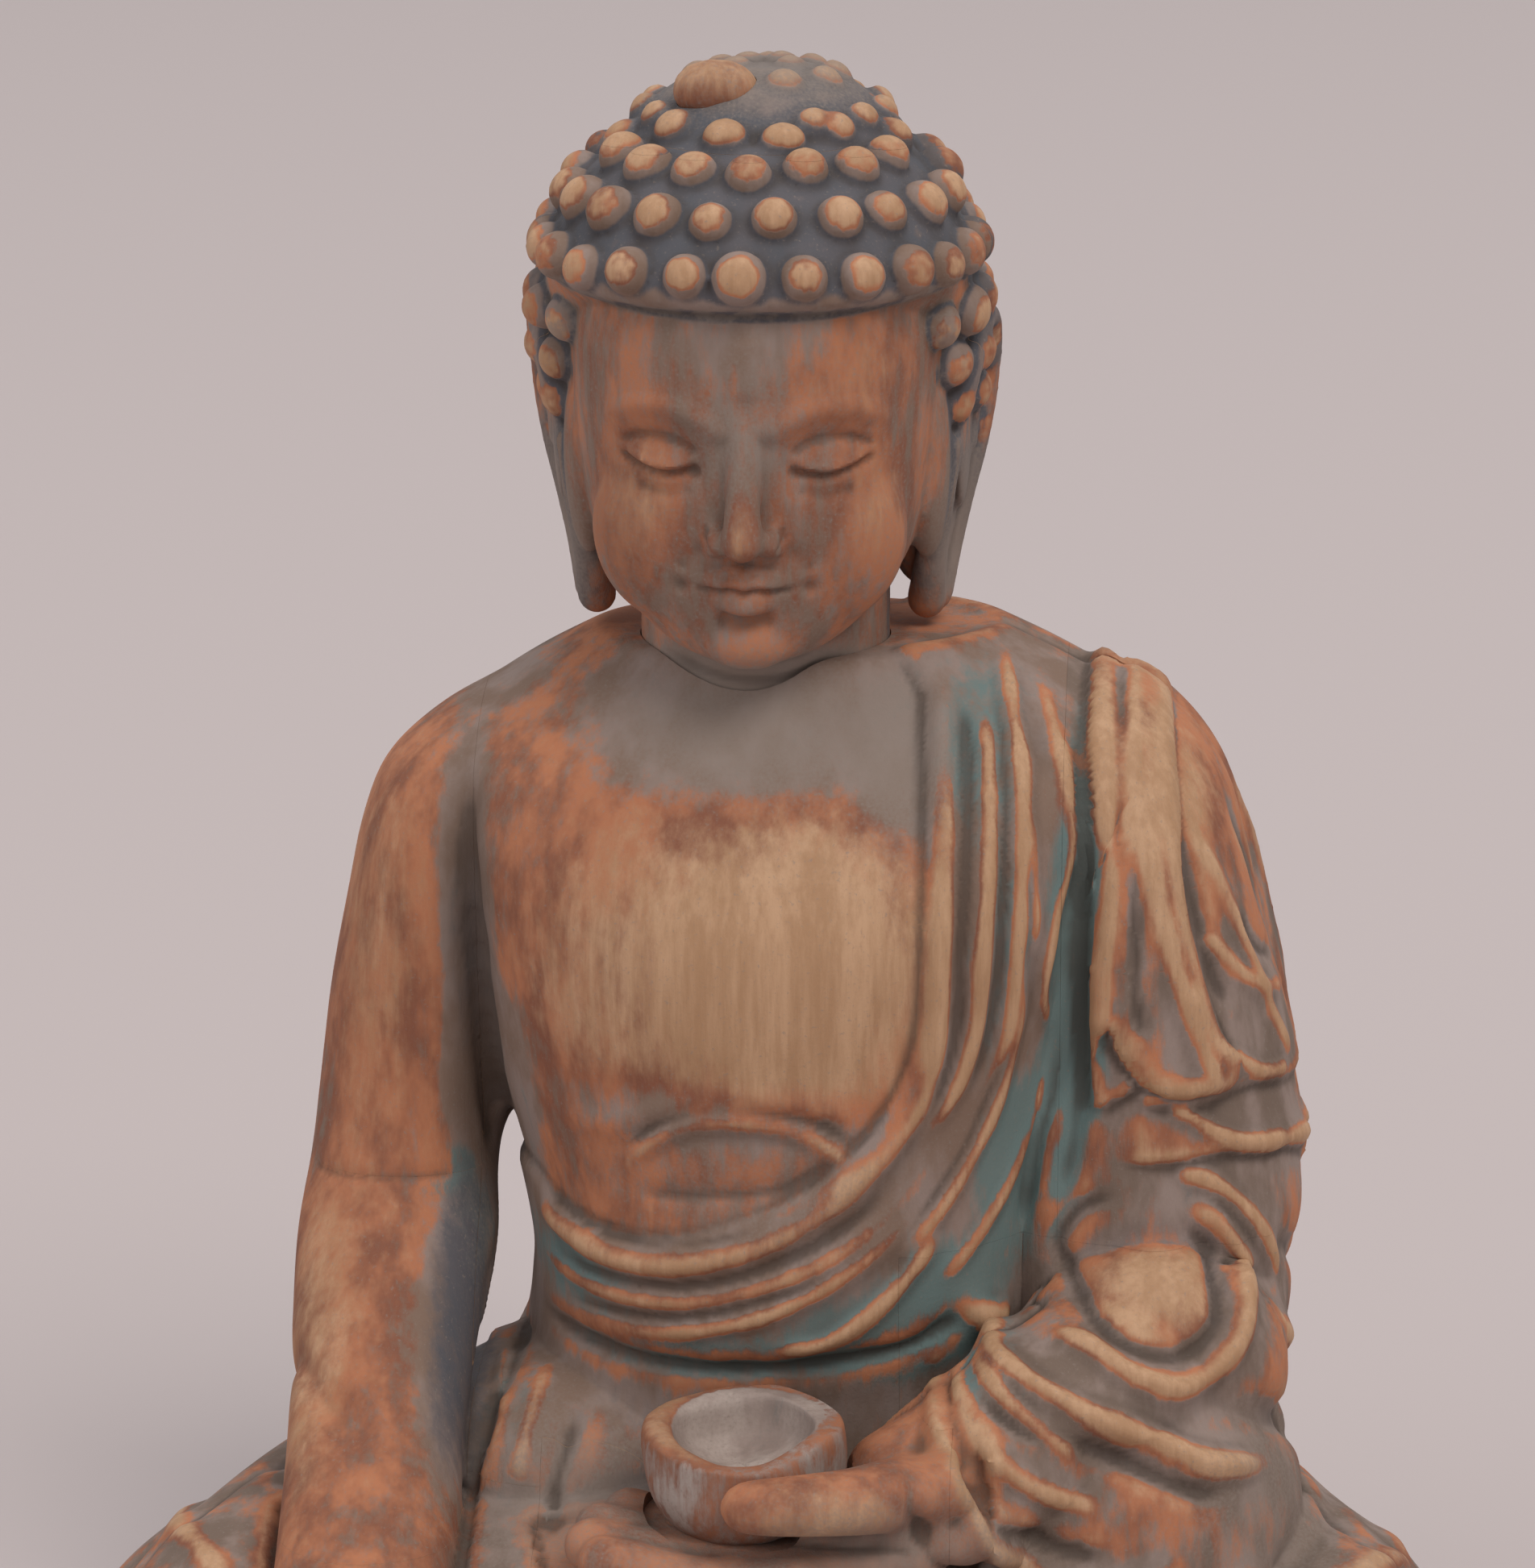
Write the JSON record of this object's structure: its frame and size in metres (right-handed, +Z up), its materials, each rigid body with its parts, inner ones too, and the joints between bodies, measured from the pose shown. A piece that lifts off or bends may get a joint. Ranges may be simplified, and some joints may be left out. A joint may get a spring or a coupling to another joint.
{
  "type": "seated buddha statue",
  "caption": "Hollow seated Buddha figure carved in joined, pegged wood blocks, with an alms bowl in the left hand, a fitted back cover and a nailed board underneath.",
  "frame": {"origin": "in the underside, below the neck", "axes": "+Z up, the figure faces -Y, its left arm is on +X"},
  "size_m": [0.242, 0.1414, 0.3],
  "materials": {
    "worn_robe_wood": "matte worn paint",
    "worn_skin_wood": "matte bare wood",
    "lacquered_wood": "dull lacquer",
    "hair_wood": "matte worn paint",
    "jewel_wood": "matte worn paint",
    "plain_wood": "sawn",
    "forged_iron": "rusty"
  },
  "bodies": {
    "figure": {"trunk_front": "worn_robe_wood", "trunk_back": "worn_robe_wood", "lap_block": "worn_robe_wood", "right_hip_block": "lacquered_wood", "left_hip_block": "lacquered_wood", "head_front": "worn_skin_wood", "head_back": "hair_wood", "topknot": "hair_wood", "topknot_jewel": "jewel_wood", "right_upper_arm": "worn_skin_wood", "right_forearm": "worn_skin_wood", "right_hand": "worn_skin_wood", "left_upper_sleeve": "worn_robe_wood", "left_lower_sleeve": "worn_robe_wood", "left_hand": "worn_skin_wood", "alms_bowl": "lacquered_wood", "base_board": "plain_wood", "large_pegs": "plain_wood", "small_pegs": "plain_wood", "seam_staples": "forged_iron", "board_nails": "forged_iron"},
    "cover": {"back_cover": "lacquered_wood"}
  },
  "joints": [
    {"name": "cover_slide", "type": "slide", "parent": "figure", "child": "cover", "axis": [0, 1, 0], "range_m": [0, 0.03]}
  ]
}
